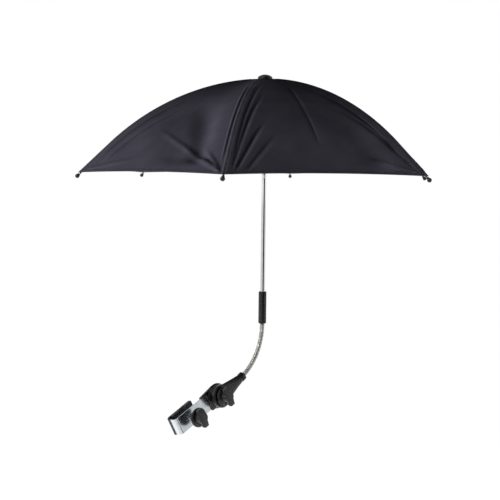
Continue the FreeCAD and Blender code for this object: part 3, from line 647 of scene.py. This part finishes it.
# %% Metal finishes
def metal(name, dark, light, smooth, rough, stretch, depth):
    finish = Finish(name)
    lines = finish.noise(finish.place(stretch), 1.0, 3.0)
    cloud = finish.noise(finish.place(), 90.0, 3.0)
    finish.put(Base_Color=finish.ramp(cloud, 0.3, dark, 0.7, light), Metallic=1.0,
               Roughness=finish.between(lines, 0.2, 0.8, smooth, rough),
               Normal=finish.bump(lines, depth, 0.1 * mm))
    return finish


zinc = metal("zinc plated strip", (0.54, 0.58, 0.61), (0.68, 0.72, 0.74), 0.16, 0.24, (120, 120, 120), 0.03)
chrome = metal("chrome tube", (0.72, 0.72, 0.73), (0.82, 0.82, 0.82), 0.05, 0.1, (900, 900, 30), 0.02)
satin = metal("satin neck metal", (0.4, 0.392, 0.37), (0.5, 0.492, 0.468), 0.42, 0.54, (400, 400, 400), 0.05)
steel = metal("dark rib steel", (0.2, 0.2, 0.21), (0.32, 0.32, 0.33), 0.3, 0.45, (800, 800, 800), 0.1)
dress(zinc, "clamp_bracket", "press_nut", "clamp_screw", "swivel_bolt", "swivel_washer")
dress(chrome, "shaft_tube", "catch_pin", "spring_catch")
neck_lengths = 8
dress(satin, "neck_end", *[f"neck_length_{i + 1}" for i in range(neck_lengths)])
dress(steel, "crown_wire", "runner_wire")
for i in range(rib_count):
    dress(steel, f"rib_{i + 1}", f"stretcher_{i + 1}")
print("metals on the strip, tube, neck and wires")

# %% [markdown]
# ## Floor
# The parasol is clamped to a pram's frame, about 0.9 m over the ground, so the pale floor lies that far down.
# It mostly glows white to the camera and in reflections, and is an ordinary pale floor to all other light,
# so the background is white without any more light on the object.

# %% Floor
floor_height = -0.9
span = 30
camera_white_share, mirror_white_share = 0.9, 0.65
floor_glow = 1.1
corners = [(x * span, y * span, floor_height) for x, y in ((-1, -1), (1, -1), (1, 1), (-1, 1))]
floor_mesh = bpy.data.meshes.new("floor")
floor_mesh.from_pydata(corners, [], [(0, 1, 2, 3)])
floor = show("floor", floor_mesh)


def seen_directly(nodes):
    """Two switches: one is 1 for camera rays, the other is 1 for mirror and glass rays."""
    rays = nodes.add("ShaderNodeLightPath").outputs
    sharp = nodes.math("MAXIMUM", rays["Is Glossy Ray"], rays["Is Transmission Ray"])
    return rays["Is Camera Ray"], sharp


pale = Finish("pale floor")
by_camera, by_mirror = seen_directly(pale)
camera_white = pale.math("MULTIPLY", by_camera, camera_white_share)
white_share = pale.math("MAXIMUM", camera_white, pale.math("MULTIPLY", by_mirror, mirror_white_share))
glow = pale.add("ShaderNodeEmission", {"Color": (1, 1, 1, 1), "Strength": floor_glow}).outputs[0]
scuffs = pale.noise(pale.place(), 3.0)
pale.put(Base_Color=pale.ramp(scuffs, 0.3, (0.84, 0.84, 0.84), 0.7, (0.87, 0.87, 0.87)), Roughness=0.9)
mixed = pale.add("ShaderNodeMixShader", {0: white_share, 1: pale.shader.outputs[0], 2: glow})
pale.feed(pale.tree.nodes["Material Output"].inputs["Surface"], mixed.outputs[0])
floor_mesh.materials.append(pale.material)
print("floor", -floor_height, "m below the clamp")

# %% [markdown]
# ## World
# The world stands for the white room around the object. To the camera it is plain white. In reflections it is
# white too, and only darker overhead. As a light it is weak, so that the lamps decide which side is bright.
# A Light Path node tells these three apart.

# %% World
world = bpy.data.worlds.new("studio")
bpy.context.scene.world = world
world.use_nodes = True
overhead_level = 0.25
overhead_height = 0.8
world_level = 0.27
sky = Nodes(world.node_tree)
way = sky.add("ShaderNodeTexCoord").outputs["Generated"]
towards = sky.add("ShaderNodeSeparateXYZ", {0: way}).outputs
overhead = sky.between(towards["Z"], 0.0, overhead_height, 1.0, overhead_level)
by_camera, by_mirror = seen_directly(sky)
lighting = sky.math("MULTIPLY", sky.math("SUBTRACT", 1.0, by_mirror), world_level)
strength = sky.math("MULTIPLY", overhead, sky.math("ADD", by_mirror, lighting))
sky.feed(world.node_tree.nodes["Background"].inputs["Strength"], sky.math("MAXIMUM", strength, by_camera))
world.node_tree.nodes["Background"].inputs["Color"].default_value = (1, 1, 1, 1)
print("the world lights at", world_level, "of what the camera sees")

# %% [markdown]
# ## Dark studio wall
# Bright metal only shows what stands around it. A curved dark wall behind the camera and to its right, which
# nothing but reflections can see, draws the dark line down the tube and gives the black plastic its depth.
# A darker world would do that too, but it would darken the reflections on every side.

# %% Dark studio wall
wall_distance = 3.0
wall_top = 2.4
wall_start, wall_sweep, wall_parts = 214, 64, 12
wall_turns = [math.radians(wall_start + wall_sweep * i / wall_parts) for i in range(wall_parts + 1)]
wall_points = [(shaft.x + wall_distance * math.cos(turn), shaft.y + wall_distance * math.sin(turn), height)
               for height in (floor_height, wall_top) for turn in wall_turns]
wall_mesh = bpy.data.meshes.new("dark wall")
upper = len(wall_turns)
wall_mesh.from_pydata(wall_points, [], [(i, i + 1, i + upper + 1, i + upper) for i in range(wall_parts)])
wall = show("dark_wall", wall_mesh)
for ray in ("camera", "diffuse", "transmission", "shadow", "volume_scatter"):
    setattr(wall, f"visible_{ray}", False)
drape = Finish("dark wall")
nap = drape.noise(drape.place(), 4.0)
drape.put(Base_Color=drape.ramp(nap, 0.3, (0.008, 0.008, 0.008), 0.7, (0.014, 0.014, 0.014)), Roughness=0.9)
wall_mesh.materials.append(drape.material)
print("wall of", len(wall_mesh.polygons), "faces, seen only in reflections")

# %% [markdown]
# ## Highlight panel
# Black plastic is read by its highlights. A square panel, high up on the left, puts one on the knobs and the
# holder. It lights no cloth, because diffuse surfaces are told not to see it.

# %% Highlight panel
panel_turn = math.radians(175)
panel_rise = 1.1
panel_distance = 2.2
panel_size = 0.9
panel_watts = 36


def aim(thing, sight, roll=0.0):
    """Turn a lamp or a camera to look along a direction."""
    thing.rotation_mode = "QUATERNION"
    thing.rotation_quaternion = sight.to_track_quat("-Z", "Y") @ Quaternion((0, 0, 1), roll)


panel_spot = Vector((math.cos(panel_turn), math.sin(panel_turn), panel_rise)).normalized()
panel_light = bpy.data.lights.new("highlight panel", "AREA")
panel_light.size = panel_size
panel_light.energy = panel_watts
panel = show("highlight panel", panel_light)
panel.location = panel_spot * panel_distance
aim(panel, -panel_spot)
panel.visible_diffuse = False
print("highlight panel", round(panel.location.z, 2), "m up, seen only in reflections")

# %% [markdown]
# ## Lamps
# The light comes low from the left, as from a large window, with a weaker fill from the right and a back lamp
# that lifts the far side of the canopy. Little comes from above, so the canopy is lighter towards its hem.
# Round soft lamps are hidden from reflections, so that the metal shows the wall and the panel instead.

# %% Lamps
aim_drop = Vector((0, 0, 0.1))


def direction(turn, height):
    """A direction from its turn about the upright and its height over the level, both in degrees."""
    turn, height = math.radians(turn), math.radians(height)
    return Vector((math.cos(turn) * math.cos(height), math.sin(turn) * math.cos(height), math.sin(height)))


def lamp(name, turn, height, distance, size, level):
    """A round soft lamp aimed at the canopy. At level 1 a white card facing it would just be white."""
    light = bpy.data.lights.new(name, "AREA")
    light.shape = "DISK"
    light.size = size
    light.energy = math.pi**2 * level * distance**2
    holder = show(name, light)
    out = direction(turn, height)
    holder.location = crown - aim_drop + out * distance
    aim(holder, -out)
    holder.visible_glossy = False
    print(name, round(light.energy, 1), "W")


lamp("key lamp", turn=142, height=-10, distance=2.2, size=1.0, level=2.3)
lamp("fill lamp", turn=292, height=-11, distance=2.4, size=1.6, level=1.65)
lamp("back lamp", turn=42, height=4, distance=2.4, size=1.6, level=1.1)

# %% [markdown]
# ## Camera
# The picture is taken from in front of the arm and a little above the hem, with a lens near 57 mm. The camera
# stands at a fixed place beside the shaft, turned by its heading, its tilt and a touch of roll.

# %% Camera
stand = Vector((-1.06824, -0.8976, -0.15489))
heading, tilt = 40.983, -5.6733
camera_roll = math.radians(0.6)
view = bpy.data.cameras.new("photo camera")
view.sensor_width = 36
view.lens = 57.36
camera = show("photo camera", view)
camera.location = crown + stand
aim(camera, direction(heading, tilt), camera_roll)
bpy.context.scene.camera = camera
bpy.context.scene.view_settings.view_transform = "Standard"
print("camera at", [round(v, 3) for v in camera.location])
